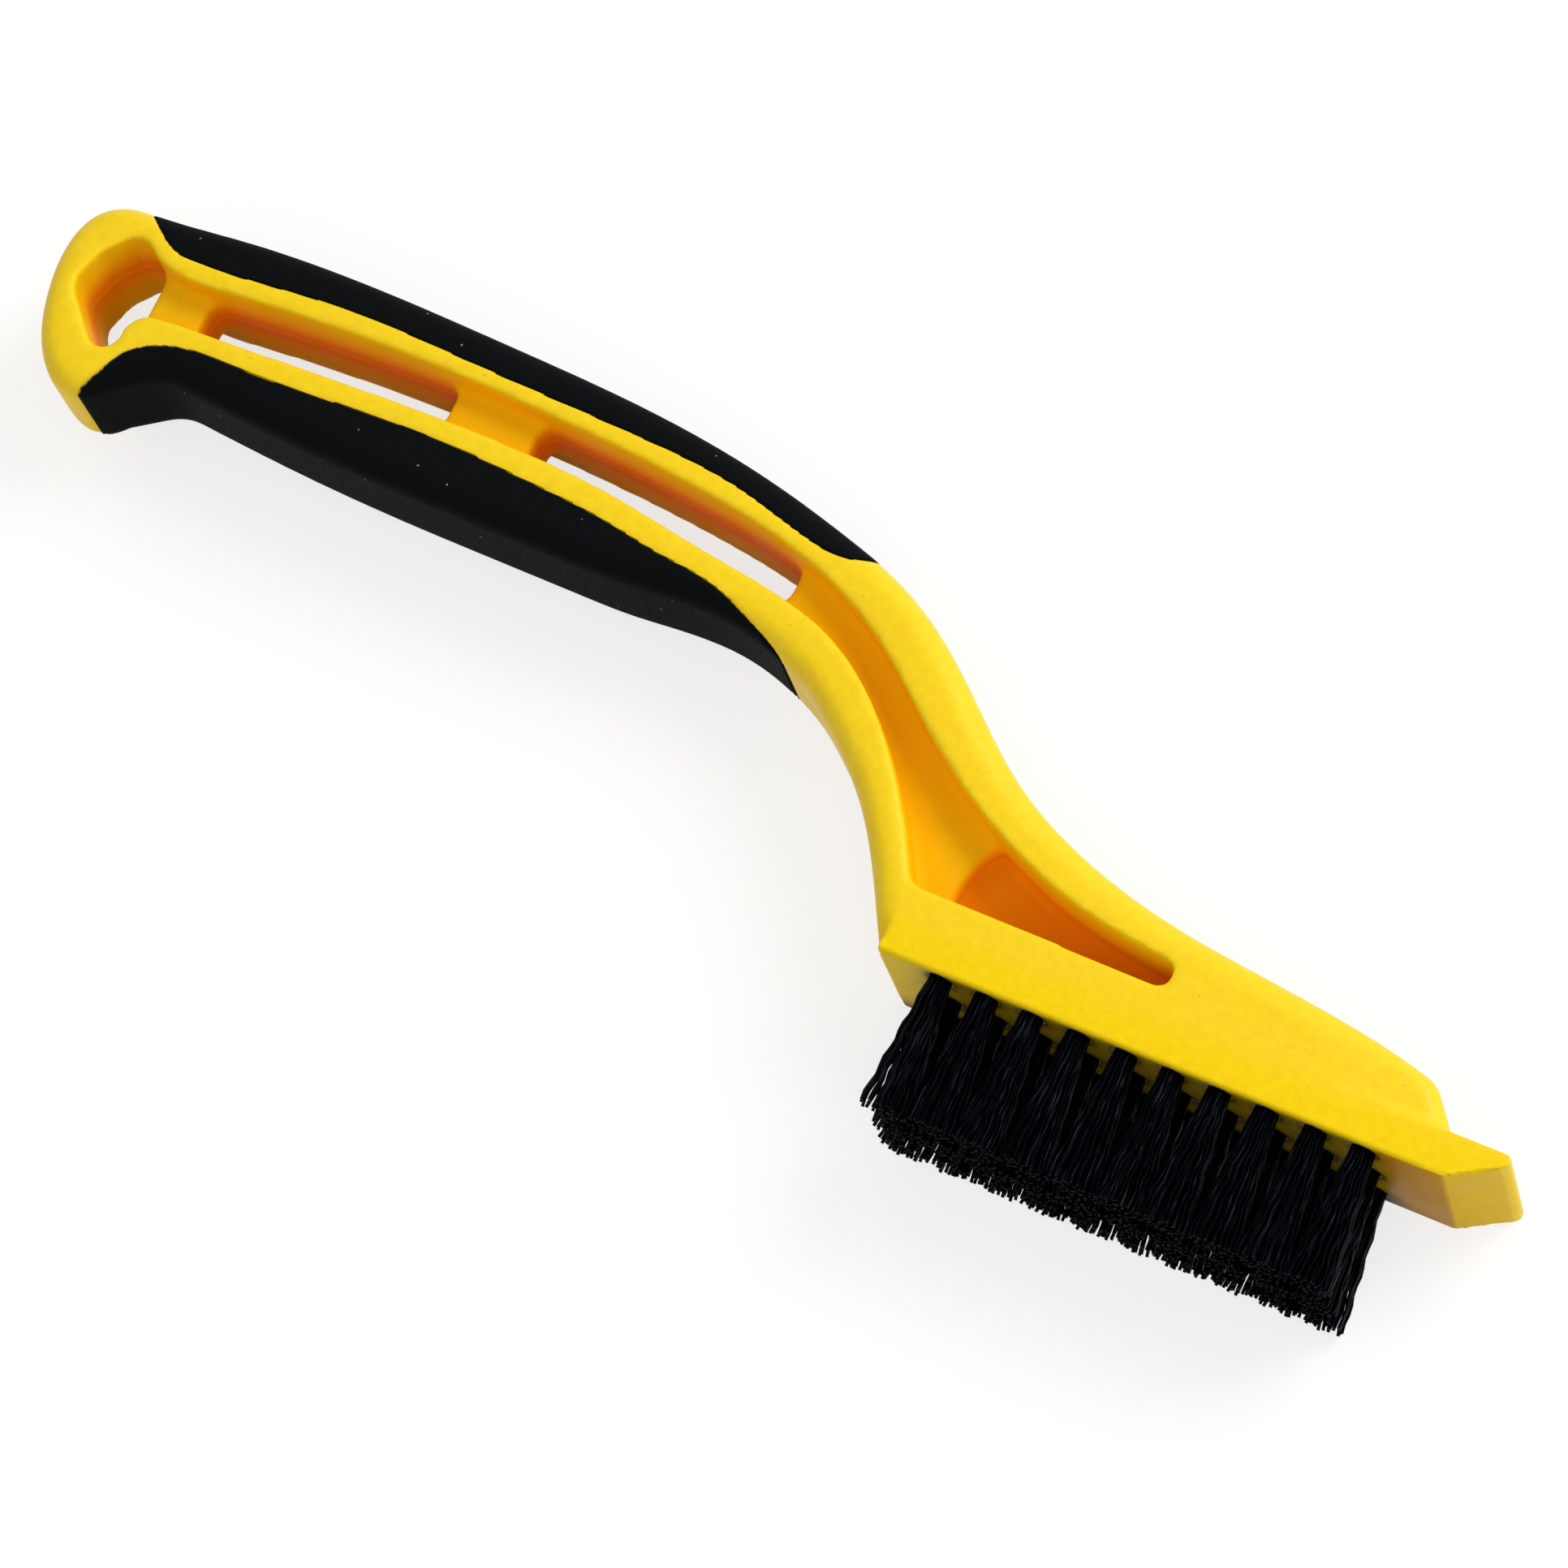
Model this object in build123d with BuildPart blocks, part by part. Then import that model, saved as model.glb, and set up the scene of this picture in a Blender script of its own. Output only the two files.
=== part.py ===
from build123d import *
import math
import os

# A grout brush lying on its flat side. +X runs along the head from the handle to the
# scraper nose, +Y away from the bristles, and +Z up across the width of the brush.
# The brush is the same on both sides of its middle plane, which lies level.

# Overall sizes, in millimetres.
handle_length = 146.0  # from the heel of the head back to the end of the knob
back_height = 58.8  # from the underside of the head up to the crown of the back
head_length = 82.4  # from the heel to the edge of the nose
head_width = 20.0
handle_width = 16.4
edge_round = 3.3  # along the back, the belly and the knob
overrun = 2.0  # by which every cut runs past the face that it opens

# The head.
plate_height = 5.6  # of the scraper blade in front of the hump
rail_height = 9.4  # of the solid rail under the side pocket, at the heel
rail_fall = 0.5  # of the rail's upper edge, from the heel to the front of the pocket
bevel_length = 6.6
bevel_rise = 3.9
nose_round = 0.8
hump_front_round = 4.0
hump_half_width = 8.3  # at the front of the hump, where it is narrower than the blade
hump_taper_length = 14.0
nose_lean = 0.8  # of the blunt edge, from the bevel up to the tip
flare_length = 38.0  # along which the handle widens to the head
crisp_round = 0.4  # on the long lower edges of the head
hook_round = 7.0  # in the crook between the belly and the knob

# The side channels, the webs between them and the pocket in the head.
web_thickness = 7.4
pocket_web = 2.0
pocket_corner_round = 2.5
pocket_end_round = 1.5
slot_round = 1.8
pocket_arc_radius = 13.0

# The hanging hole.
hole_corner_round = 2.8
hole_bottom_round = 2.4

# The two soft pads.
pad_wall = 2.5
pad_side_inlay = 1.6

# The bristle field.
columns = 10
rows = 3
column_pitch = 6.27
row_pitch = 7.25
first_column = 8.3  # from the heel
hole_radius = 1.5
hole_depth = 6.5
trim = 18.0  # from the underside to the cut ends
tip_lean = 0.9  # of the cut ends towards the nose

# One tuft: a folded root and the strands that leave it.
root_clearance = 0.05
root_stand = 0.3  # by which the root bundle stands out of its hole
strand_width = 0.5
strand_root = 0.6  # by which each strand starts inside the root
ring_counts = (1, 4, 8)
ring_root_radius = 0.56  # from one ring of strands to the next, at the root
ring_tip_radius = 1.15  # the same, at the cut ends
crimp_height = 0.22
crimp_steps = 4

# The flat wire anchors.
anchor_bite = 0.35  # into the wall on either side of the hole
anchor_thickness = 0.35
anchor_height = 1.6
anchor_clearance = 0.05

# Shares of the handle length, behind the heel, and of the back height.
knob_shares = (
    (-0.895, 0.549),
    (-0.934, 0.509),
    (-0.967, 0.569),
    (-0.993, 0.704),
    (-1.000, 0.808),
    (-0.986, 0.934),
    (-0.965, 0.968),
)
back_shares = (
    (-0.938, 0.975),
    (-0.841, 0.992),
    (-0.747, 0.999),
    (-0.566, 0.981),
    (-0.413, 0.953),
    (-0.307, 0.912),
    (-0.197, 0.840),
    (-0.129, 0.776),
    (-0.044, 0.633),
)
neck_shares = (
    (-0.024, 0.098),
    (-0.068, 0.263),
    (-0.098, 0.345),
    (-0.132, 0.418),
    (-0.163, 0.477),
    (-0.198, 0.523),
    (-0.260, 0.569),
)
belly_shares = (
    (-0.327, 0.574),
    (-0.376, 0.566),
    (-0.425, 0.566),
    (-0.500, 0.570),
    (-0.575, 0.574),
    (-0.704, 0.589),
    (-0.812, 0.613),
    (-0.850, 0.623),
)
# Shares of the head length, ahead of the heel, and of the back height.
hump_shares = (
    (0.078, 0.456),
    (0.204, 0.367),
    (0.367, 0.301),
    (0.564, 0.261),
    (0.843, 0.189),
)
hump_foot_shares = ((0.904, 0.080), (0.875, 0.0))

# The channel's upper and lower walls, in the same two kinds of shares.
channel_top_handle_shares = (
    (-0.920, 0.892),
    (-0.902, 0.865),
    (-0.880, 0.850),
    (-0.827, 0.850),
    (-0.745, 0.861),
    (-0.592, 0.862),
    (-0.471, 0.846),
    (-0.337, 0.812),
    (-0.246, 0.769),
    (-0.197, 0.729),
    (-0.121, 0.627),
    (-0.047, 0.483),
)
channel_top_head_shares = (
    (0.006, 0.395),
    (0.136, 0.299),
    (0.242, 0.247),
    (0.340, 0.221),
    (0.425, 0.207),
)
channel_low_shares = (
    (-0.029, 0.279),
    (-0.060, 0.381),
    (-0.124, 0.539),
    (-0.179, 0.619),
    (-0.219, 0.650),
    (-0.310, 0.689),
    (-0.407, 0.731),
    (-0.475, 0.748),
    (-0.582, 0.755),
    (-0.686, 0.752),
    (-0.810, 0.743),
    (-0.870, 0.739),
    (-0.889, 0.729),
    (-0.898, 0.704),
    (-0.903, 0.655),
)
pocket_end_share = 0.422
pocket_arc_share = (0.207, 0.204)

# The hanging hole's corners, and where the webs stand between the through slots.
hole_shares = (
    (-0.899, 0.561),
    (-0.969, 0.747),
    (-0.959, 0.833),
    (-0.931, 0.917),
    (-0.903, 0.862),
)
end_web_share = -0.850
bridge_shares = (-0.595, -0.509)
neck_web_share = -0.229

# Where each pad ends on the sides of the handle, and past the outline.
back_pad_shares = (
    (-0.938, 0.972),
    (-0.907, 0.917),
    (-0.893, 0.899),
    (-0.872, 0.892),
    (-0.737, 0.911),
    (-0.566, 0.897),
    (-0.399, 0.875),
    (-0.305, 0.847),
    (-0.216, 0.789),
    (-0.192, 0.783),
    (-0.166, 0.806),
    (-0.152, 0.850),
)
back_pad_outer_shares = ((-0.130, 1.100), (-0.955, 1.100))
belly_pad_shares = (
    (-0.920, 0.496),
    (-0.9095, 0.540),
    (-0.901, 0.577),
    (-0.894, 0.612),
    (-0.883, 0.644),
    (-0.865, 0.672),
    (-0.840, 0.690),
    (-0.777, 0.693),
    (-0.675, 0.700),
    (-0.571, 0.704),
    (-0.490, 0.690),
    (-0.397, 0.666),
    (-0.345, 0.643),
    (-0.284, 0.620),
    (-0.245, 0.583),
    (-0.205, 0.535),
    (-0.185, 0.485),
    (-0.180, 0.440),
)
belly_pad_outer_shares = ((-0.200, 0.400), (-0.930, 0.400))


# The frame starts in the middle of the bristle field, half way up the rail,
# on the side that the brush lies on. Side views are drawn from the heel.
origin_x = first_column + column_pitch * (columns - 1) / 2
origin_y = rail_height / 2
side = Plane((-origin_x, -origin_y, 0))
plan = Plane((-origin_x, -origin_y, head_width / 2), x_dir=(1, 0, 0), z_dir=(0, -1, 0))
behind_knob = -handle_length - overrun
ahead_of_nose = head_length + overrun
above_back = back_height + overrun
pocket_corner = (0, rail_height)
pocket_end = (pocket_end_share * head_length, rail_height - rail_fall)


def behind(shares):
    """Points on the handle, from shares measured back from the heel."""
    return [(x * handle_length, y * back_height) for x, y in shares]


def ahead(shares):
    """Points on the head, from shares measured forward from the heel."""
    return [(x * head_length, y * back_height) for x, y in shares]


def brush_outline():
    """The closed side view of the handle, the neck and the hump."""
    knob = behind(knob_shares)
    hump = ahead(hump_shares)
    neck = [(0, 0)] + behind(neck_shares + belly_shares)
    with BuildLine() as outline:
        Spline(knob + behind(back_shares) + hump)
        Polyline([hump[-1]] + ahead(hump_foot_shares) + [neck[0]])
        Spline(neck)
        Line(neck[-1], knob[0])
    return outline.line


def channel_outline():
    """The closed side view of the long recess, from the hanging hole to the pocket."""
    top = behind(channel_top_handle_shares) + ahead(channel_top_head_shares)
    low = [pocket_corner] + behind(channel_low_shares)
    with BuildLine() as outline:
        Spline(top)
        Polyline(top[-1], pocket_end, pocket_corner)
        Spline(low)
        Line(low[-1], top[0])
    return outline.line


def pad_region(edge_points, outer_points):
    """The closed side view of one pad, run out past the outline of the handle."""
    with BuildLine() as outline:
        Spline(edge_points)
        Polyline([edge_points[-1]] + outer_points + [edge_points[0]])
    return outline.line


brush_line = brush_outline()


def handle_core(shift):
    """The handle's hard core, moved along Y by the wall of the pad that lies on it."""
    floor = (head_width - handle_width) / 2 + pad_side_inlay
    with BuildPart() as core:
        with BuildSketch(Plane((-origin_x, shift - origin_y, floor))):
            add(brush_line)
            make_face()
        extrude(amount=handle_width - 2 * pad_side_inlay)
    return core.part


# The outer form of the handle, the neck and the hump, before anything is cut from it.
with BuildPart() as envelope:
    with BuildSketch(side):
        add(brush_line)
        make_face()
        hump_corner = vertices().sort_by_distance(ahead(hump_shares)[-1])[0]
        fillet(hump_corner, radius=hump_front_round)
        crook = vertices().sort_by_distance(behind(belly_shares)[-1])[0]
        fillet(crook, radius=hook_round)
    extrude(amount=head_width)
    with BuildSketch(plan):
        with BuildLine():
            slim, wide = handle_width / 2, head_width / 2
            bend = -flare_length / 2
            Line((behind_knob, slim), (-flare_length, slim))
            Bezier((-flare_length, slim), (bend, slim), (bend, wide), (0, wide))
            Polyline((0, wide), (ahead_of_nose, wide), (ahead_of_nose, 0))
            Line((behind_knob, slim), (behind_knob, 0))
            mirror(about=Plane.XZ)
        make_face()
    extrude(amount=-above_back, mode=Mode.INTERSECT)
    hump_front = hump_shares[-1][0] * head_length - hump_front_round - origin_x
    along = edges().filter_by(Axis.Y, reverse=True).filter_by(Axis.Z, reverse=True)
    outer = along.filter_by(lambda e: e.center().X < hump_front and e.center().Y > -origin_y)
    fillet(outer, radius=edge_round)


# The two pads are the outer layer of the handle, over its hard core.
with BuildPart() as grip_back_pad:
    add(envelope.part)
    with BuildSketch(side):
        add(pad_region(behind(back_pad_shares), behind(back_pad_outer_shares)))
        make_face()
    extrude(amount=head_width, mode=Mode.INTERSECT)
    add(handle_core(-pad_wall), mode=Mode.SUBTRACT)
grip_back_pad.part.label = "grip_back_pad"

with BuildPart() as grip_belly_pad:
    add(envelope.part)
    with BuildSketch(side):
        add(pad_region(behind(belly_pad_shares), behind(belly_pad_outer_shares)))
        make_face()
    extrude(amount=head_width, mode=Mode.INTERSECT)
    add(handle_core(pad_wall), mode=Mode.SUBTRACT)
grip_belly_pad.part.label = "grip_belly_pad"


# The side views of what is cut from the body.
with BuildSketch() as hanging_hole:
    with BuildLine():
        Polyline(behind(hole_shares), close=True)
    make_face()
    hole_bottom = vertices().sort_by(Axis.Y)[0]
    fillet(hole_bottom, radius=hole_bottom_round)
    sharp_points = behind(hole_shares[1:])
    sharp = [vertices().sort_by_distance(point)[0] for point in sharp_points]
    fillet(sharp, radius=hole_corner_round)

with BuildSketch() as channel:
    add(channel_outline())
    make_face()
    pocket_top = ahead(channel_top_head_shares)[-1]
    fillet(vertices().sort_by_distance(pocket_corner)[0], radius=pocket_corner_round)
    fillet(vertices().sort_by_distance(pocket_end)[0], radius=pocket_end_round)
    fillet(vertices().sort_by_distance(pocket_top)[0], radius=pocket_end_round)

slots = []
for slot_shares in ((end_web_share, bridge_shares[0]), (bridge_shares[1], neck_web_share)):
    start, stop = (share * handle_length for share in slot_shares)
    with BuildSketch() as slot:
        add(channel.sketch)
        with Locations(((start + stop) / 2, 0)):
            Rectangle(stop - start, 2 * back_height, mode=Mode.INTERSECT)
        fillet(vertices(), radius=slot_round)
    slots.append(slot.sketch)

with BuildSketch() as pocket:
    pocket_centre = ahead([pocket_arc_share])[0]
    with Locations(pocket_centre):
        Circle(pocket_arc_radius)
        Rectangle(head_length, 2 * pocket_arc_radius, align=(Align.MIN, Align.CENTER))
    add(channel.sketch, mode=Mode.INTERSECT)

spots = [
    (first_column + column * column_pitch, (row - (rows - 1) / 2) * row_pitch)
    for column in range(columns)
    for row in range(rows)
]

# The yellow body: handle, neck, head and scraper nose in one piece.
with BuildPart() as handle_body:
    add(envelope.part)
    # The hump narrows towards its front.
    with BuildSketch(plan):
        with BuildLine():
            hump_end = hump_shares[-1][0] * head_length
            taper_start = hump_end - hump_taper_length
            taper_middle = hump_end - hump_taper_length / 2
            clear = wide + overrun
            Bezier((taper_start, wide), (taper_middle, wide), (ahead_of_nose, hump_half_width))
            Polyline((ahead_of_nose, hump_half_width), (ahead_of_nose, clear), (taper_start, clear))
            Line((taper_start, clear), (taper_start, wide))
        make_face()
        mirror(about=Plane.XZ)
    extrude(amount=-above_back, mode=Mode.SUBTRACT)

    # The plate that holds the bristles and ends in the scraper nose.
    with BuildSketch(side):
        with BuildLine():
            bevel_start = head_length - nose_lean - bevel_length
            Polyline((0, 0), (bevel_start, 0), (head_length - nose_lean, bevel_rise))
            Polyline((head_length - nose_lean, bevel_rise), (head_length, plate_height))
            Polyline((head_length, plate_height), (0, plate_height), (0, 0))
        make_face()
        nose_tip = vertices().sort_by_distance((head_length, plate_height))[0]
        fillet(nose_tip, radius=nose_round)
    extrude(amount=head_width)
    lowest = edges().filter_by(Axis.X).group_by(Axis.Y)[0]
    fillet(lowest, radius=crisp_round)

    # The long recess in each side.
    for way in (1, -1):
        with BuildSketch(side.offset((head_width + way * web_thickness) / 2)):
            add(channel.sketch)
            add(hanging_hole.sketch)
        extrude(amount=way * head_width, mode=Mode.SUBTRACT)

    # The deeper pocket in each side of the head, and what goes right through.
    for way in (1, -1):
        with BuildSketch(side.offset((head_width + way * pocket_web) / 2)):
            add(pocket.sketch)
        extrude(amount=way * (web_thickness - pocket_web) / 2, mode=Mode.SUBTRACT)
    with BuildSketch(side):
        add(hanging_hole.sketch)
        add(slots)
    extrude(amount=head_width, mode=Mode.SUBTRACT)

    add(grip_back_pad.part, mode=Mode.SUBTRACT)
    add(grip_belly_pad.part, mode=Mode.SUBTRACT)

    # The drilled holes, and the slots that the anchors bite into their walls.
    with BuildSketch(plan):
        with Locations(spots):
            Circle(hole_radius)
    extrude(amount=-hole_depth, mode=Mode.SUBTRACT)
    with BuildSketch(plan.offset(-hole_depth)):
        with Locations(spots):
            Rectangle(2 * (hole_radius + anchor_bite), anchor_thickness)
    extrude(amount=anchor_height, mode=Mode.SUBTRACT)
handle_body.part.label = "handle_body"


with BuildPart() as tuft_anchors:
    with BuildSketch(plan.offset(-hole_depth)):
        with Locations(spots):
            Rectangle(2 * (hole_radius + anchor_bite), anchor_thickness)
    extrude(amount=anchor_height)
tuft_anchors.part.label = "tuft_anchors"


def strand(spot, ring, angle):
    """One crimped strand, square in section, from inside the root to its cut end."""
    with BuildPart() as fibre:
        for step in range(crimp_steps + 1):
            along = step / crimp_steps
            reach = ring * (ring_root_radius + along * (ring_tip_radius - ring_root_radius))
            wave = crimp_height * (step % 2) * 2 - crimp_height
            x = spot[0] + reach * math.cos(angle) + wave * min(step, 1) + along * tip_lean
            z = spot[1] + reach * math.sin(angle)
            with BuildSketch(plan.offset(-strand_root + along * (trim + strand_root))):
                with Locations((x, z)):
                    Rectangle(strand_width, strand_width)
        loft(ruled=True)
    return fibre.part


def tuft(index):
    """One tuft: its root, slotted for the anchor, and its strands."""
    spot = spots[index]
    fibres = []
    for ring, count in enumerate(ring_counts):
        for turn in range(count):
            angle = math.tau * (turn / count + index / len(spots))
            fibres.append(strand(spot, ring, angle))
    with BuildPart() as bundle:
        with BuildSketch(plan.offset(-hole_depth)):
            with Locations(spot):
                Circle(hole_radius - root_clearance)
        extrude(amount=hole_depth + root_stand)
        with BuildSketch(plan.offset(-hole_depth)):
            with Locations(spot):
                Rectangle(2 * (hole_radius + anchor_bite), anchor_thickness + 2 * anchor_clearance)
        extrude(amount=anchor_height + anchor_clearance, mode=Mode.SUBTRACT)
        add(fibres)
    return bundle.part


os.makedirs("parts", exist_ok=True)
for piece in (handle_body, grip_back_pad, grip_belly_pad, tuft_anchors):
    export_step(piece.part, f"parts/{piece.part.label}.step")
for index in range(columns * rows):
    bristles = tuft(index)
    bristles.label = f"tuft_c{index // rows + 1:02d}_r{index % rows + 1}"
    export_step(bristles, f"parts/{bristles.label}.step")
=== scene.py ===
# %% [markdown]
# A grout brush, dressed for its portrait
#
# The brush lies on its flat side on a pale table. Its solids come ready made, in metres, with +X
# towards the scraper nose, +Y away from the bristles and +Z up. This lesson gives them the
# surfaces of the real thing: a yellow moulded body with soft rims, two black rubber grips that are
# moulded into it, and thirty tufts of crimped nylon.

import functools
import math

import bmesh
import bpy
import mathutils
import numpy as np
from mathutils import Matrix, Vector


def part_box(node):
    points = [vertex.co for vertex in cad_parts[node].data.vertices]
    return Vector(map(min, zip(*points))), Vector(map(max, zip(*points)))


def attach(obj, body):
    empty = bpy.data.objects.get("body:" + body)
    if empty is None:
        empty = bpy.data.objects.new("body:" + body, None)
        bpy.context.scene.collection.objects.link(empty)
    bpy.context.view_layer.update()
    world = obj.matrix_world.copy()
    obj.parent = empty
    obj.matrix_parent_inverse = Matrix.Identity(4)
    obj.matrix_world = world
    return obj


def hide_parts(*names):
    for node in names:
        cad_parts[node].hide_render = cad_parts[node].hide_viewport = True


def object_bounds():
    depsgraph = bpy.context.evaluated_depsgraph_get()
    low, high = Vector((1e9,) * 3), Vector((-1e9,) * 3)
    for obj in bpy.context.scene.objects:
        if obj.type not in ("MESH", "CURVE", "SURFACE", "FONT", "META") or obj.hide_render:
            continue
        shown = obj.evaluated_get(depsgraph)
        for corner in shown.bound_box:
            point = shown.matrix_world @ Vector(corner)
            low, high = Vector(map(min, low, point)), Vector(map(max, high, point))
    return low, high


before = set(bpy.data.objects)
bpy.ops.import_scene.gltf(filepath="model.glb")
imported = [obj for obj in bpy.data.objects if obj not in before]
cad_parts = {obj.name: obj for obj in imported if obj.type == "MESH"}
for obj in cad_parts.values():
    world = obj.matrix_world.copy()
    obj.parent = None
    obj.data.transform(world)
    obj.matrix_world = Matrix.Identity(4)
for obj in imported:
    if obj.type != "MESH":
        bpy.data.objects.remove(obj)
cad_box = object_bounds()
scene = bpy.context.scene
mm = 0.001
print("solids:", len(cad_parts), "box:", [list(corner) for corner in cad_box])

# %% [markdown]
# The camera
#
# The picture was taken from above with a long lens, which keeps the far knob nearly as large as
# the near nose. A lens is best given by what it sees: the focal length in pixels, over the side
# of the square picture, times the width of the film.

# %% Place the camera
picture_side = 1932
focal_pixels = 7600
camera_place = mathutils.Vector((0.1923, -0.1975, 0.7069))
camera_aim = mathutils.Vector((-0.0604, 0.0134, 0.0100))
camera_roll = math.radians(-25.7)

lens = bpy.data.cameras.new("photo_camera")
lens.sensor_width = 36.0
lens.lens = lens.sensor_width * focal_pixels / picture_side
lens.clip_start = 0.01
camera = bpy.data.objects.new("photo_camera", lens)
scene.collection.objects.link(camera)
turn = (camera_aim - camera_place).to_track_quat("-Z", "Y")
camera.rotation_euler = (turn @ mathutils.Quaternion((0, 0, 1), camera_roll)).to_euler()
camera.location = camera_place
scene.camera = camera
scene.view_settings.view_transform = "Standard"
print("camera looks from", list(camera_place), "with a lens of", round(lens.lens, 1), "mm")

# %% [markdown]
# Floor and light
#
# The brush was photographed against white. A white floor does that, as long as it is bright
# enough to the camera and in reflections. To all other light it is a warm, pale table, so that it
# doesn't wash out the shaded sides. About a quarter of the white that the camera sees comes from
# the lamps and the sky, which leaves a light shadow under the brush. Three large lamps give soft
# light, the strongest from behind the back of the brush. The strength of each is given as its
# share of full light on a face that looks straight at it, and the power follows from the distance.

# %% Make the floor and the lamps
def new_material(name):
    """A node material with its nodes, its links and its main shader."""
    material = bpy.data.materials.new(name)
    material.use_nodes = True
    tree = material.node_tree
    return material, tree.nodes, tree.links, tree.nodes["Principled BSDF"]


def straight_look(nodes, links):
    """1 for what the camera sees directly, in a reflection or through something clear."""
    path = nodes.new("ShaderNodeLightPath")
    total = path.outputs["Is Camera Ray"]
    for kind in ("Is Glossy Ray", "Is Transmission Ray"):
        add = nodes.new("ShaderNodeMath")
        add.operation = "ADD"
        add.use_clamp = True
        links.new(total, add.inputs[0])
        links.new(path.outputs[kind], add.inputs[1])
        total = add.outputs["Value"]
    return total


def choose_by_look(nodes, links, hidden, seen, target):
    """Sends one shader to straight looks, and the other to all other light."""
    choose = nodes.new("ShaderNodeMixShader")
    links.new(straight_look(nodes, links), choose.inputs["Fac"])
    links.new(hidden, choose.inputs[1])
    links.new(seen, choose.inputs[2])
    links.new(choose.outputs["Shader"], target.inputs["Surface"])


def make_floor():
    """A wide floor that the camera sees as white."""
    reach = 3.0
    matte = 0.9
    table_colour = (0.82, 0.77, 0.68, 1)
    lamp_lit_share = (0.28, 0.28, 0.28, 1)
    own_white = 0.74
    mesh = bpy.data.meshes.new("floor")
    corners = [(-reach, -reach, 0), (reach, -reach, 0), (reach, reach, 0), (-reach, reach, 0)]
    mesh.from_pydata(corners, [], [(0, 1, 2, 3)])
    floor = bpy.data.objects.new("floor", mesh)
    scene.collection.objects.link(floor)
    material, nodes, links, plain = new_material("white_floor")
    plain.inputs["Base Color"].default_value = table_colour
    plain.inputs["Roughness"].default_value = matte
    seen = nodes.new("ShaderNodeBsdfPrincipled")
    seen.inputs["Base Color"].default_value = lamp_lit_share
    seen.inputs["Roughness"].default_value = matte
    seen.inputs["Emission Color"].default_value = (1, 1, 1, 1)
    seen.inputs["Emission Strength"].default_value = own_white
    target = nodes["Material Output"]
    choose_by_look(nodes, links, plain.outputs["BSDF"], seen.outputs["BSDF"], target)
    mesh.materials.append(material)


def make_sky(share):
    """An even glow from all round, white where the camera looks straight into it."""
    world = bpy.data.worlds.new("studio")
    scene.world = world
    world.use_nodes = True
    nodes, links = world.node_tree.nodes, world.node_tree.links
    glow = nodes["Background"]
    glow.inputs["Color"].default_value = (1.0, 0.96, 0.88, 1)
    glow.inputs["Strength"].default_value = share
    seen = nodes.new("ShaderNodeBackground")
    seen.inputs["Color"].default_value = (1, 1, 1, 1)
    seen.inputs["Strength"].default_value = 1.0
    target = nodes["World Output"]
    choose_by_look(nodes, links, glow.outputs["Background"], seen.outputs["Background"], target)


def soft_lamp(name, direction, distance, size, share):
    """A square lamp that looks at the middle of the brush."""
    middle = mathutils.Vector((-0.06, 0.015, 0.01))
    lamp = bpy.data.lights.new(name, "AREA")
    lamp.size = size
    lamp.energy = share * math.pi ** 2 * distance ** 2
    holder = bpy.data.objects.new(name, lamp)
    holder.location = middle + mathutils.Vector(direction).normalized() * distance
    holder.rotation_euler = (middle - holder.location).to_track_quat("-Z", "Y").to_euler()
    scene.collection.objects.link(holder)


make_floor()
make_sky(share=0.44)
soft_lamp("key_lamp", (0.45, 0.65, 0.72), distance=1.3, size=0.7, share=0.66)
soft_lamp("front_lamp", (0.3, -0.55, 0.9), distance=1.4, size=0.9, share=0.17)
soft_lamp("nose_lamp", (0.9, 0.1, 0.5), distance=1.3, size=0.6, share=0.06)

# %% [markdown]
# Tools for mixing a finish
#
# A finish is a small net of nodes, and most of them do one of a few jobs: make noise of a given
# fineness, stretch a value, do a sum, mix two colours, tell how open a place is to the air, or
# turn a height into bumps. With a short function for each job, a finish reads like a recipe.

# %% Make the mixing tools
def noise(nodes, links, place, scale, detail=2.0, roughness=0.5):
    """Noise with so many features to the metre."""
    texture = nodes.new("ShaderNodeTexNoise")
    texture.inputs["Scale"].default_value = scale
    texture.inputs["Detail"].default_value = detail
    texture.inputs["Roughness"].default_value = roughness
    links.new(place, texture.inputs["Vector"])
    return texture.outputs["Fac"]


def remap(nodes, links, value, low, high, to_low=0.0, to_high=1.0):
    """A value stretched from one range to another, and held at its ends."""
    mapper = nodes.new("ShaderNodeMapRange")
    mapper.inputs["From Min"].default_value = low
    mapper.inputs["From Max"].default_value = high
    mapper.inputs["To Min"].default_value = to_low
    mapper.inputs["To Max"].default_value = to_high
    links.new(value, mapper.inputs["Value"])
    return mapper.outputs["Result"]


def calculate(nodes, links, operation, first, second=None):
    """One sum on a socket and, where there is one, a second socket or number."""
    node = nodes.new("ShaderNodeMath")
    node.operation = operation
    links.new(first, node.inputs[0])
    if isinstance(second, (int, float)):
        node.inputs[1].default_value = second
    elif second is not None:
        links.new(second, node.inputs[1])
    return node.outputs["Value"]


def blend_colour(nodes, links, share, first, second):
    """One colour, or one socket's colour, mixed into another by a share."""
    mixer = nodes.new("ShaderNodeMix")
    mixer.data_type = "RGBA"
    links.new(share, mixer.inputs["Factor"])
    for socket, colour in zip((mixer.inputs["A"], mixer.inputs["B"]), (first, second)):
        if isinstance(colour, tuple):
            socket.default_value = (*colour, 1)
        else:
            links.new(colour, socket)
    return mixer.outputs["Result"]


def stain(nodes, links, colour, stain_colour, *shares):
    """A colour with a stain on it, as strong as all its shares multiplied."""
    strength = shares[0]
    for share in shares[1:]:
        strength = calculate(nodes, links, "MULTIPLY", strength, share)
    return blend_colour(nodes, links, strength, colour, stain_colour)


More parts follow.
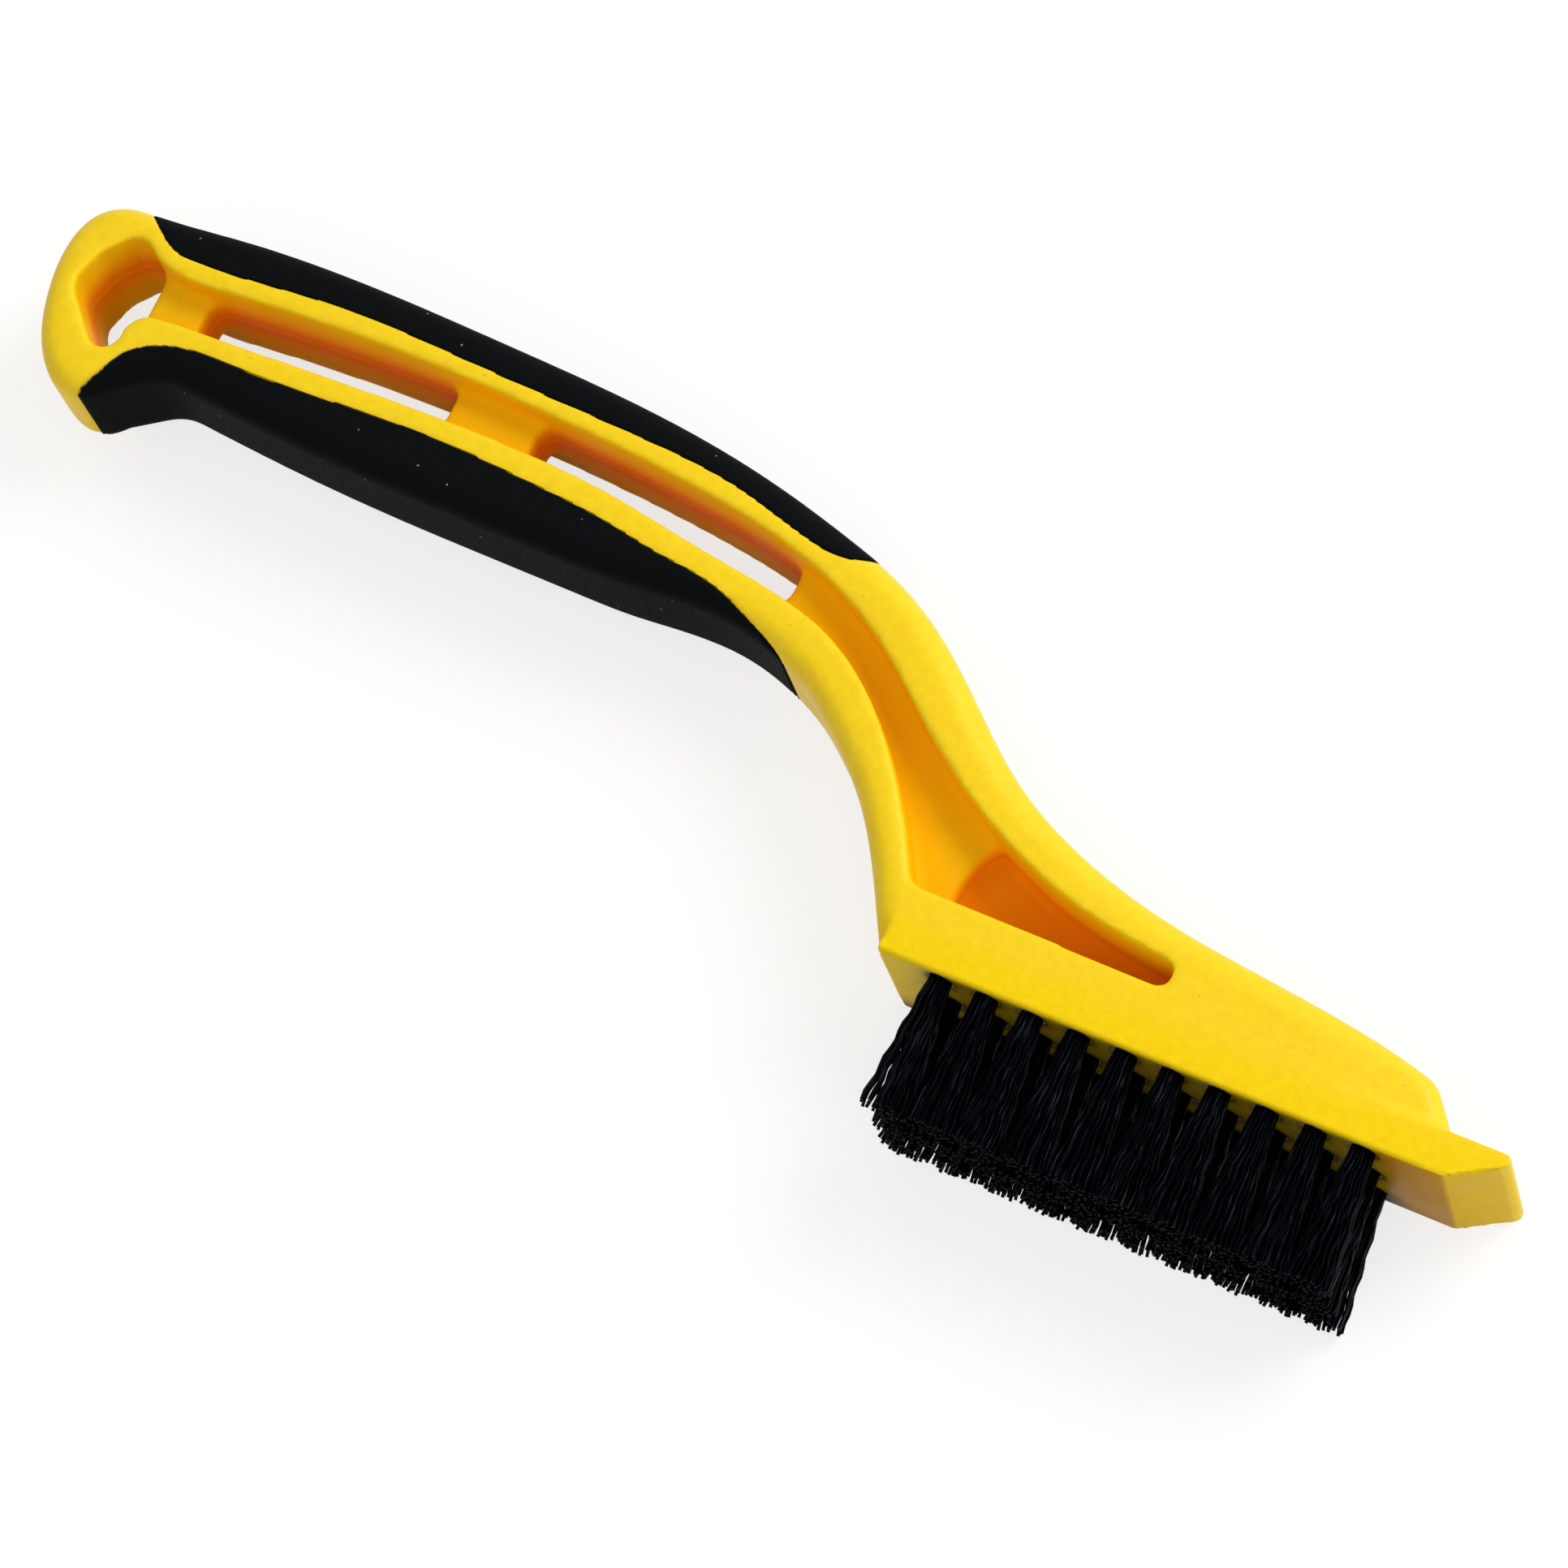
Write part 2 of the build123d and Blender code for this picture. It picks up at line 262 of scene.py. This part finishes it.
def openness(nodes, reach, only_local=True):
    """1 in the open, and less where something within reach shuts out the air."""
    node = nodes.new("ShaderNodeAmbientOcclusion")
    node.samples = 8
    node.only_local = only_local
    node.inputs["Distance"].default_value = reach
    return node.outputs["AO"]


def bump(nodes, links, heights, distance, strength, before=None):
    """A bumpy normal from a height, on top of an earlier one."""
    node = nodes.new("ShaderNodeBump")
    node.inputs["Distance"].default_value = distance
    node.inputs["Strength"].default_value = strength
    links.new(heights, node.inputs["Height"])
    if before:
        links.new(before, node.inputs["Normal"])
    return node.outputs["Normal"]


mixing_tools = (noise, remap, calculate, blend_colour, stain, openness, bump)
print("mixing tools:", [tool.__name__ for tool in mixing_tools])

# %% [markdown]
# Yellow moulded plastic
#
# The body is polypropylene with a fine, even texture from the mould. Light that gets into a
# recess bounces from yellow to yellow and comes out orange. The shader paints that bounce light
# and shade into the colour: where neighbouring walls shut out the open air, the colour turns
# towards amber, and towards a deep orange as the recess gets nearer to the middle plane of the
# brush. Painted shade makes the feet of the walls darker still, and a painted highlight draws a
# thin pale line where the mould's halves met. In front of the last tuft the underside looks at
# black bristles and gets back little light, and between the roots of the bristles hardly any
# light gets in: painted shade darkens both.

# %% Mix the yellow plastic
middle_plane = (cad_box[0].z + cad_box[1].z) / 2
rail_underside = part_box("handle_body")[0].y
last_tuft_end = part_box("tuft_c10_r1")[1].x


def painted_recess_shade(nodes, links, face, walled_in, from_middle):
    """Painted shade and bounce light in the channels, slots and hole, and a painted seam highlight.
    """
    # Painted shade and bounce light: amber in recesses, deep orange near the middle plane.
    painted_recess_amber, painted_recess_orange = (0.95, 0.53, 0.003), (0.90, 0.26, 0.003)
    painted_foot_shade, painted_seam_highlight = (0.66, 0.17, 0.002), (0.95, 0.52, 0.010)
    foot_reach = 2.5 * mm
    below_rim = remap(nodes, links, from_middle, 9.4 * mm, 5.6 * mm)
    recess = calculate(nodes, links, "MULTIPLY", walled_in, below_rim)
    deep = remap(nodes, links, from_middle, 4.4 * mm, 1.0 * mm)
    # Painted shade at the feet of the walls.
    painted_foot_share = remap(nodes, links, openness(nodes, foot_reach), 0.75, 0.40, 0.0, 0.55)
    # Painted highlight: a thin pale line where the mould's halves met.
    seam = remap(nodes, links, from_middle, 0.22 * mm, 0.10 * mm, 0.0, 0.45)
    colour = stain(nodes, links, face, painted_recess_amber, recess)
    colour = stain(nodes, links, colour, painted_recess_orange, recess, deep)
    colour = stain(nodes, links, colour, painted_foot_shade, painted_foot_share, recess)
    return stain(nodes, links, colour, painted_seam_highlight, seam, recess)


def painted_underside_shade(nodes, links, colour, x, y):
    """The shade on the underside of the head, in front of the tufts and between them."""
    shaded_amber, painted_root_shade = (0.52, 0.25, 0.004), (0.085, 0.048, 0.004)
    root_reach = 6 * mm
    # Painted shade where the underside looks at the black bristles.
    facing = nodes.new("ShaderNodeSeparateXYZ")
    links.new(nodes.new("ShaderNodeTexCoord").outputs["Normal"], facing.inputs["Vector"])
    down = remap(nodes, links, facing.outputs["Y"], -0.80, -1.0)
    in_front = remap(nodes, links, x, last_tuft_end - 4 * mm, last_tuft_end)
    colour = stain(nodes, links, colour, shaded_amber, down, in_front)
    # Painted shade between the roots of the tufts.
    hemmed_in = remap(nodes, links, openness(nodes, root_reach, only_local=False), 0.92, 0.60)
    low = remap(nodes, links, y, rail_underside + 0.35 * mm, rail_underside + 0.05 * mm)
    behind = remap(nodes, links, x, last_tuft_end + 2 * mm, last_tuft_end - 1 * mm)
    return stain(nodes, links, colour, painted_root_shade, hemmed_in, low, behind)


def yellow_plastic():
    """Fine-grained yellow polypropylene, with painted shade in its recesses and underside."""
    darker_yellow, lighter_yellow = (0.900, 0.610, 0.003), (0.965, 0.690, 0.006)
    speck_colour = (0.62, 0.40, 0.03)
    wall_reach = 13 * mm
    material, nodes, links, skin = new_material("yellow_polypropylene")
    place = nodes.new("ShaderNodeTexCoord").outputs["Object"]
    split = nodes.new("ShaderNodeSeparateXYZ")
    links.new(place, split.inputs["Vector"])
    x, y, z = (split.outputs[axis] for axis in "XYZ")
    from_middle = calculate(nodes, links, "SUBTRACT", z, middle_plane)
    from_middle = calculate(nodes, links, "ABSOLUTE", from_middle)
    walled_in = remap(nodes, links, openness(nodes, wall_reach), 0.90, 0.45)

    cloudy = remap(nodes, links, noise(nodes, links, place, 700, 4, 0.7), 0.30, 0.70)
    face = blend_colour(nodes, links, cloudy, darker_yellow, lighter_yellow)
    colour = painted_recess_shade(nodes, links, face, walled_in, from_middle)
    colour = painted_underside_shade(nodes, links, colour, x, y)
    specks = remap(nodes, links, noise(nodes, links, place, 900, 1), 0.775, 0.80, 0.0, 0.6)
    colour = stain(nodes, links, colour, speck_colour, specks)
    links.new(colour, skin.inputs["Base Color"])

    rough = remap(nodes, links, noise(nodes, links, place, 240), 0.3, 0.7, 0.40, 0.52)
    links.new(rough, skin.inputs["Roughness"])
    shine = remap(nodes, links, walled_in, 0.0, 0.5, 0.30, 0.01)
    rubbed = remap(nodes, links, y, rail_underside + 3 * mm, rail_underside + 6 * mm, 0.3, 1.0)
    shine = calculate(nodes, links, "MULTIPLY", shine, rubbed)
    links.new(shine, skin.inputs["Specular IOR Level"])
    grain = bump(nodes, links, noise(nodes, links, place, 3000), 0.05 * mm, 0.35)
    orange_peel = bump(nodes, links, noise(nodes, links, place, 350), 0.10 * mm, 0.35, grain)
    links.new(orange_peel, skin.inputs["Normal"])
    return material


yellow = yellow_plastic()
print("finish:", yellow.name, "of", len(yellow.node_tree.nodes), "nodes")

# %% [markdown]
# Black rubber, nylon and wire
#
# The grips are a soft elastomer, matte and a little blue in its blacks, with a leathery grain
# and a few grains of white dust. The bristles are black nylon, dull enough that their cut ends
# don't glint, with faint bluish highlights painted as streaks along the filaments. The anchors
# are plain steel wire.

# %% Mix the black rubber, the nylon and the steel
def black_rubber():
    """A matte black elastomer with a fine grain and a few specks of dust."""
    darker_black, lighter_black = (0.0008, 0.0011, 0.0013), (0.0052, 0.0064, 0.0072)
    dust = (0.22, 0.24, 0.25)
    material, nodes, links, skin = new_material("black_elastomer")
    place = nodes.new("ShaderNodeTexCoord").outputs["Object"]
    grain = noise(nodes, links, place, 1800, 3, 0.6)
    colour = blend_colour(nodes, links, grain, darker_black, lighter_black)
    dots = nodes.new("ShaderNodeTexVoronoi")
    dots.inputs["Scale"].default_value = 420
    links.new(place, dots.inputs["Vector"])
    small = remap(nodes, links, dots.outputs["Distance"], 0.075, 0.045)
    chosen = nodes.new("ShaderNodeSeparateColor")
    links.new(dots.outputs["Color"], chosen.inputs["Color"])
    rare = remap(nodes, links, chosen.outputs["Red"], 0.82, 0.84)
    colour = stain(nodes, links, colour, dust, small, rare)
    links.new(colour, skin.inputs["Base Color"])
    rough = remap(nodes, links, grain, 0.3, 0.7, 0.62, 0.80)
    links.new(rough, skin.inputs["Roughness"])
    skin.inputs["Specular IOR Level"].default_value = 0.03
    links.new(bump(nodes, links, grain, 0.12 * mm, 0.6), skin.inputs["Normal"])
    return material


def black_nylon():
    """Dull black filament with faint bluish highlights painted as streaks along its length."""
    deep_black, painted_highlight_blue = (0.0002, 0.0002, 0.0003), (0.016, 0.019, 0.027)
    lengthwise = (1, 0.08, 1)
    material, nodes, links, skin = new_material("black_nylon")
    place = nodes.new("ShaderNodeTexCoord").outputs["Object"]
    stretch = nodes.new("ShaderNodeMapping")
    stretch.inputs["Scale"].default_value = lengthwise
    links.new(place, stretch.inputs["Vector"])
    # Painted highlights: bluish streaks along the filaments; the same noise also varies the
    # roughness.
    highlight_and_roughness_streaks = noise(nodes, links, stretch.outputs["Vector"], 2500)
    painted_highlight_share = remap(nodes, links, highlight_and_roughness_streaks, 0.54, 0.70)
    colour = blend_colour(nodes, links, painted_highlight_share, deep_black, painted_highlight_blue)
    links.new(colour, skin.inputs["Base Color"])
    rough = remap(nodes, links, highlight_and_roughness_streaks, 0.3, 0.7, 0.45, 0.58)
    links.new(rough, skin.inputs["Roughness"])
    skin.inputs["Specular IOR Level"].default_value = 0.03
    skin.inputs["Specular Tint"].default_value = (0.70, 0.82, 1.0, 1)
    return material


def steel_wire():
    """Bare flat wire with drawing marks."""
    darker_steel, lighter_steel = (0.42, 0.42, 0.43), (0.60, 0.60, 0.61)
    material, nodes, links, skin = new_material("anchor_wire")
    place = nodes.new("ShaderNodeTexCoord").outputs["Object"]
    marks = noise(nodes, links, place, 4000, 3)
    skin.inputs["Metallic"].default_value = 1.0
    colour = blend_colour(nodes, links, marks, darker_steel, lighter_steel)
    links.new(colour, skin.inputs["Base Color"])
    links.new(remap(nodes, links, marks, 0.3, 0.7, 0.25, 0.45), skin.inputs["Roughness"])
    return material


rubber, nylon, steel = black_rubber(), black_nylon(), steel_wire()
print("finishes:", rubber.name, nylon.name, steel.name)

# %% [markdown]
# Tools for casting a shape again
#
# The solid has sharp rims round its recesses, while a moulding has soft ones. A bevel needs
# tidy edges, which a mesh of loose triangles hasn't got. Another way is to cast the shape again
# as an even skin of small squares and to let neighbouring points pull each other smooth, which
# rounds every corner by about as much as the pull goes on.

# %% Make the casting tools
weld_gap = 0.001 * mm


def joined_mesh(node):
    """A copy of a solid's mesh, with its loose triangles joined at their corners."""
    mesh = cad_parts[node].data.copy()
    mesh.materials.clear()
    work = bmesh.new()
    work.from_mesh(mesh)
    bmesh.ops.remove_doubles(work, verts=work.verts, dist=weld_gap)
    work.to_mesh(mesh)
    work.free()
    return mesh


def new_piece(name, mesh):
    """An object at the origin that holds a mesh."""
    piece = bpy.data.objects.new(name, mesh)
    scene.collection.objects.link(piece)
    return piece


def settle(piece):
    """Turns what the modifiers make into the piece's own mesh."""
    graph = bpy.context.evaluated_depsgraph_get()
    made = bpy.data.meshes.new_from_object(piece.evaluated_get(graph))
    piece.modifiers.clear()
    piece.data = made
    made.name = piece.name


def cast_again(name, node, square):
    """A solid as an even skin of small squares."""
    piece = new_piece(name, joined_mesh(node))
    skin = piece.modifiers.new("even_skin", "REMESH")
    skin.mode = "VOXEL"
    skin.voxel_size = square
    settle(piece)
    return piece


def points_of(piece):
    """All the points of a mesh, a row for each."""
    points = np.empty(len(piece.data.vertices) * 3)
    piece.data.vertices.foreach_get("co", points)
    return points.reshape(-1, 3)


def pull_smooth(piece, weights, rounds):
    """Lets neighbours pull each other smooth, as far as the weights allow."""
    group = piece.vertex_groups.new(name="pull")
    steps = 20
    level = np.round(weights * steps).astype(int)
    for step in range(1, steps + 1):
        group.add(np.flatnonzero(level == step).tolist(), step / steps, "REPLACE")
    smooth = piece.modifiers.new("pull", "SMOOTH")
    smooth.factor = 0.5
    smooth.iterations = rounds
    smooth.vertex_group = group.name


def thin_out(piece, share):
    """Keeps a share of the faces, most where the shape turns."""
    fewer = piece.modifiers.new("fewer_faces", "DECIMATE")
    fewer.ratio = share


def dress(piece, finish):
    """Gives a piece its finish and smooth shading."""
    piece.data.materials.append(finish)
    for face in piece.data.polygons:
        face.use_smooth = True


body = cast_again("moulded_body", "handle_body", 0.40 * mm)
print("body before:", len(body.data.polygons), "squares")

# %% [markdown]
# Soft rims on the body
#
# A weight at each point says how far the pull may go, and keeps crisp what is crisp on the real
# brush: the lower edges of the head, the nose, and the seams where the rubber meets the plastic.
# A second, longer pull rounds the knob and eases the step down into the pocket of the head. Faces
# that still meet at more than the crisp angle are shaded with a sharp edge between them.

# %% Pull the body smooth
pad_nodes = ("grip_back_pad", "grip_belly_pad")
crisp_angle = math.radians(38)


def nearness(piece, others, near, far):
    """At each point, 0 within near of the others, rising to 1 at far."""
    trees = []
    for other in others:
        work = bmesh.new()
        work.from_mesh(other)
        trees.append(mathutils.bvhtree.BVHTree.FromBMesh(work))
        work.free()
    gaps = [min(t.find_nearest(v.co, far)[3] or far for t in trees) for v in piece.data.vertices]
    return np.clip((np.array(gaps) - near) / (far - near), 0, 1)


def rounded_rims(piece):
    """1 on most of the body, and less where the real brush is crisp."""
    off_seams = nearness(piece, [joined_mesh(node) for node in pad_nodes], 0.25 * mm, 1.0 * mm)
    x, y = points_of(piece)[:, :2].T
    crisp_height, fade, least = 0.8 * mm, 1.2 * mm, 0.05
    off_underside = np.clip((y - rail_underside - crisp_height) / fade, least, 1)
    nose_length, nose_share = 9 * mm, 0.3
    nose_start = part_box("handle_body")[1].x - nose_length
    return off_seams * off_underside * np.where(x > nose_start, nose_share, 1.0)


def rounder_knob(piece):
    """1 on the outer edge of the knob, and 0 on the rest of the body and round the hole."""
    hole_middle = (-0.1720, 0.0425)
    hole_half = (6.0 * mm, 10.5 * mm)
    hole_clear_share, fade_share = 1.05, 0.3
    knob_front, fade = -0.1655, 5 * mm
    x, y = points_of(piece)[:, :2].T
    away = np.hypot((x - hole_middle[0]) / hole_half[0], (y - hole_middle[1]) / hole_half[1])
    off_hole = np.clip((away - hole_clear_share) / fade_share, 0, 1)
    return off_hole * np.clip((knob_front - x) / fade, 0, 1)


def softer_step(piece):
    """1 on the step down into the pocket of the head, and 0 away from it."""
    step_middle, step_half, fade = -0.0290, 5 * mm, 2 * mm
    web_half, pocket_half = 3.7 * mm, 1.0 * mm
    points = points_of(piece)
    from_middle = abs(points[:, 2] - middle_plane)
    along = np.clip((step_half + fade - abs(points[:, 0] - step_middle)) / fade, 0, 1)
    return along * ((from_middle > 2 * pocket_half) & (from_middle < web_half + pocket_half))


pull_smooth(body, rounded_rims(body), rounds=14)
settle(body)
pull_smooth(body, np.maximum(rounder_knob(body), softer_step(body)), rounds=40)
thin_out(body, share=0.42)
settle(body)
dress(body, yellow)
body.data.set_sharp_from_angle(angle=crisp_angle)
print("body after:", len(body.data.polygons), "faces")

# %% [markdown]
# The rubber grips
#
# Each grip is moulded into its seat in the body and lies flush with it. Cast the same way, with
# a hair of extra thickness, it closes the seam and keeps a small rounded edge of its own.

# %% Cast the grips
def swell(piece, height):
    """Moves each point out along its normal, but not past the solids' own box."""
    mesh = piece.data
    normals = np.empty(len(mesh.vertices) * 3)
    mesh.vertex_normals.foreach_get("vector", normals)
    points = points_of(piece) + height * normals.reshape(-1, 3)
    points = np.clip(points, np.array(cad_box[0]), np.array(cad_box[1]))
    mesh.vertices.foreach_set("co", points.ravel())
    mesh.update()


grips = []
for node in pad_nodes:
    grip = cast_again(node.replace("pad", "rubber"), node, 0.35 * mm)
    pull_smooth(grip, np.ones(len(grip.data.vertices)), rounds=2)
    thin_out(grip, share=0.6)
    settle(grip)
    swell(grip, height=0.06 * mm)
    dress(grip, rubber)
    grips.append(grip)
    print(grip.name, len(grip.data.polygons), "faces")

# %% [markdown]
# The path of a filament
#
# A machine folds a bundle of crimped filaments over a scrap of wire and drives it into its hole.
# The bundle leaves the hole tight and fans out, and its ends are trimmed to one level. Geometry
# Nodes say that well: one straight line is copied as many times as there are filaments, each copy
# finds its own spot in the round bundle, and its points move out and wave from side to side as
# they get further from the hole. The sums for that come first.

# %% Work out where a filament goes
def sum_of(tree, operation, first, second=0.0):
    """The result of one math node on two sockets or numbers."""
    node = tree.nodes.new("ShaderNodeMath")
    node.operation = operation
    for socket, value in zip(node.inputs, (first, second)):
        if isinstance(value, (int, float)):
            socket.default_value = value
        else:
            tree.links.new(value, socket)
    return node.outputs["Value"]


def chance(tree, who, seed, low, high):
    """A number between two limits, drawn once for each filament."""
    node = tree.nodes.new("FunctionNodeRandomValue")
    node.data_type = "FLOAT"
    numbers = [s for s in node.inputs if s.type == "VALUE" and s.enabled]
    numbers[0].default_value, numbers[1].default_value = low, high
    tree.links.new(who, node.inputs["ID"])
    tree.links.new(seed, node.inputs["Seed"])
    return [s for s in node.outputs if s.type == "VALUE" and s.enabled][0]


def filament_path(tree, given, who):
    """The X, Y and Z of a point along a filament, as three sockets."""
    calc = functools.partial(sum_of, tree)
    add, take, times = "ADD", "SUBTRACT", "MULTIPLY"
    trim_seed, phase_seed, side_seed, *stray_seeds = (calc(add, given["Seed"], n) for n in range(5))

    # Where the filament stands in the bundle, as a share of the radius and an angle.
    golden_turn = math.pi * (3 - math.sqrt(5))
    spot = calc("DIVIDE", calc(add, who, 0.5), given["Filaments"])
    spot = calc("POWER", spot, 0.5)
    angle = calc(add, calc(times, who, golden_turn), given["Seed"])

    # How far along the filament a point is, and how far out of the hole.
    along = tree.nodes.new("GeometryNodeSplineParameter").outputs["Factor"]
    cut_short = calc("ABSOLUTE", chance(tree, who, trim_seed, -1.0, 1.0))
    cut_short = calc(times, given["Trim Error"], cut_short)
    free = calc(take, given["Free Length"], cut_short)
    length = calc(times, along, calc(add, free, given["Buried Length"]))
    out = calc("MAXIMUM", calc(take, length, given["Buried Length"]), 0.0)
    share = calc("DIVIDE", out, given["Free Length"])
    fan = calc(times, calc(take, given["Tip Radius"], given["Root Radius"]), share)
    radius = calc(times, spot, calc(add, given["Root Radius"], fan))

    # Neighbours in a tuft wave nearly together, and the wave sets in over a sixth of the length.
    own_phase, own_side, shared_side, set_in = 1.4, 0.6, 0.8, 6.0
    shuffle = 12.9898
    shared = calc("SINE", calc(times, given["Seed"], shuffle))
    own = chance(tree, who, phase_seed, -own_phase, own_phase)
    phase = calc(add, own, calc(times, shared, math.pi))
    turns = calc(times, calc("DIVIDE", out, given["Crimp Length"]), math.tau)
    wave = calc("SINE", calc(add, turns, phase))
    wave = calc(times, wave, given["Crimp Height"])
    wave = calc(times, wave, calc("MINIMUM", calc(times, share, set_in), 1.0))
    own = chance(tree, who, side_seed, -own_side, own_side)
    side = calc(add, own, calc(times, shared, shared_side))

    # Each filament also strays a little, and the whole tuft leans.
    across = []
    for trig, seed in zip(("COSINE", "SINE"), stray_seeds):
        place = calc(times, radius, calc(trig, angle))
        place = calc(add, place, calc(times, wave, calc(trig, side)))
        drift = calc(times, chance(tree, who, seed, -1.0, 1.0), given["Stray"])
        across.append(calc(add, place, calc(times, drift, share)))
    x = calc(add, across[0], calc(times, given["Tip Lean"], share))
    x = calc(add, x, given["Root X"])
    y = calc(add, given["Root Y"], calc(take, given["Buried Length"], length))
    z = calc(add, across[1], given["Root Z"])
    z = calc("MINIMUM", calc("MAXIMUM", z, given["Lowest Z"]), given["Highest Z"])
    return x, y, z


print("sums for a filament:", sum_of.__name__, chance.__name__, filament_path.__name__)

# %% [markdown]
# The tuft as one tree
#
# The tree has a named input for each size, so a tuft can be changed without touching a node. It
# copies a line, moves the points of each copy to their path, and puts a three-sided tube round it.

# %% Build the tree that makes a tuft
filament_radius = 0.25 * mm


def tuft_tree():
    """The node group that turns its named inputs into one tuft."""
    tree = bpy.data.node_groups.new("tuft_maker", "GeometryNodeTree")
    wanted = {
        "Filaments": ("NodeSocketInt", 46),
        "Bends": ("NodeSocketInt", 18),
        "Root X": ("NodeSocketFloat", 0.0),
        "Root Y": ("NodeSocketFloat", 0.0),
        "Root Z": ("NodeSocketFloat", 0.0),
        "Root Radius": ("NodeSocketFloat", 1.40 * mm),
        "Tip Radius": ("NodeSocketFloat", 3.20 * mm),
        "Tip Lean": ("NodeSocketFloat", 0.9 * mm),
        "Buried Length": ("NodeSocketFloat", 3.0 * mm),
        "Free Length": ("NodeSocketFloat", 18.0 * mm),
        "Filament Radius": ("NodeSocketFloat", filament_radius),
        "Crimp Height": ("NodeSocketFloat", 0.15 * mm),
        "Crimp Length": ("NodeSocketFloat", 4.6 * mm),
        "Stray": ("NodeSocketFloat", 0.24 * mm),
        "Trim Error": ("NodeSocketFloat", 0.42 * mm),
        "Lowest Z": ("NodeSocketFloat", 0.0),
        "Highest Z": ("NodeSocketFloat", 1.0),
        "Seed": ("NodeSocketInt", 0),
        "Finish": ("NodeSocketMaterial", None),
    }
    for name, (kind, value) in wanted.items():
        socket = tree.interface.new_socket(name, in_out="INPUT", socket_type=kind)
        if value is not None:
            socket.default_value = value
    tree.interface.new_socket("Tuft", in_out="OUTPUT", socket_type="NodeSocketGeometry")
    given = tree.nodes.new("NodeGroupInput").outputs

    line = tree.nodes.new("GeometryNodeCurvePrimitiveLine")
    dense = tree.nodes.new("GeometryNodeResampleCurve")
    tree.links.new(line.outputs["Curve"], dense.inputs["Curve"])
    tree.links.new(given["Bends"], dense.inputs["Count"])
    copies = tree.nodes.new("GeometryNodeDuplicateElements")
    copies.domain = "SPLINE"
    tree.links.new(dense.outputs["Curve"], copies.inputs["Geometry"])
    tree.links.new(given["Filaments"], copies.inputs["Amount"])

    point = tree.nodes.new("ShaderNodeCombineXYZ")
    path = filament_path(tree, given, copies.outputs["Duplicate Index"])
    for socket, value in zip(point.inputs, path):
        tree.links.new(value, socket)
    move = tree.nodes.new("GeometryNodeSetPosition")
    tree.links.new(copies.outputs["Geometry"], move.inputs["Geometry"])
    tree.links.new(point.outputs["Vector"], move.inputs["Position"])

    ring = tree.nodes.new("GeometryNodeCurvePrimitiveCircle")
    ring.inputs["Resolution"].default_value = 3
    tree.links.new(given["Filament Radius"], ring.inputs["Radius"])
    tube = tree.nodes.new("GeometryNodeCurveToMesh")
    tube.inputs["Fill Caps"].default_value = True
    tree.links.new(move.outputs["Geometry"], tube.inputs["Curve"])
    tree.links.new(ring.outputs["Curve"], tube.inputs["Profile Curve"])
    real = tree.nodes.new("GeometryNodeRealizeInstances")
    tree.links.new(tube.outputs["Mesh"], real.inputs["Geometry"])
    paint = tree.nodes.new("GeometryNodeSetMaterial")
    tree.links.new(real.outputs["Geometry"], paint.inputs["Geometry"])
    tree.links.new(given["Finish"], paint.inputs["Material"])
    tree.links.new(paint.outputs["Geometry"], tree.nodes.new("NodeGroupOutput").inputs["Tuft"])
    return tree


tuft_maker = tuft_tree()
print("tree:", tuft_maker.name, len(tuft_maker.nodes), "nodes")

# %% [markdown]
# Planting the tufts
#
# Every tuft has its own seed, so no two are alike, and grows from the middle of its hole. The
# outer rows stay within the width of the head, because the brush lies on its side there and its
# lowest filaments rest on the table.

# %% Plant a tuft in each hole
def root_middle(node):
    """Where the middle of a tuft's root stands, in X and Z, from the inner end of its solid."""
    points = points_of(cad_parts[node])
    inner = points[points[:, 1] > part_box(node)[1].y - weld_gap]
    middle = (inner.min(axis=0) + inner.max(axis=0)) / 2
    return middle[0], middle[2]


def plant(node, seed):
    """One tuft, in place of its plain solid."""
    root_x, root_z = root_middle(node)
    piece = new_piece(node.replace("tuft", "bristles"), bpy.data.meshes.new(node))
    grow = piece.modifiers.new("grow", "NODES")
    grow.node_group = tuft_maker
    values = {
        "Root X": root_x,
        "Root Y": rail_underside,
        "Root Z": root_z,
        "Filament Radius": filament_radius,
        "Lowest Z": cad_box[0].z + filament_radius,
        "Highest Z": cad_box[1].z - filament_radius,
        "Seed": seed,
        "Finish": nylon,
    }
    for item in tuft_maker.interface.items_tree:
        if item.name in values:
            grow[item.identifier] = values[item.name]
    settle(piece)
    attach(piece, "root")
    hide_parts(node)
    return piece


seed_step = 11
tuft_nodes = sorted(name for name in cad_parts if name.startswith("tuft_c"))
tufts = [plant(node, seed_step * index) for index, node in enumerate(tuft_nodes)]
print("tufts:", len(tufts), "faces in one:", len(tufts[0].data.polygons))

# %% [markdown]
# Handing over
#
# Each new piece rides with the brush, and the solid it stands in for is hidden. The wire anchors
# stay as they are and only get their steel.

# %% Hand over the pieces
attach(body, "root")
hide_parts("handle_body")
for grip, node in zip(grips, pad_nodes):
    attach(grip, "root")
    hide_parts(node)
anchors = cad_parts["tuft_anchors"]
anchors.data.materials.clear()
anchors.data.materials.append(steel)
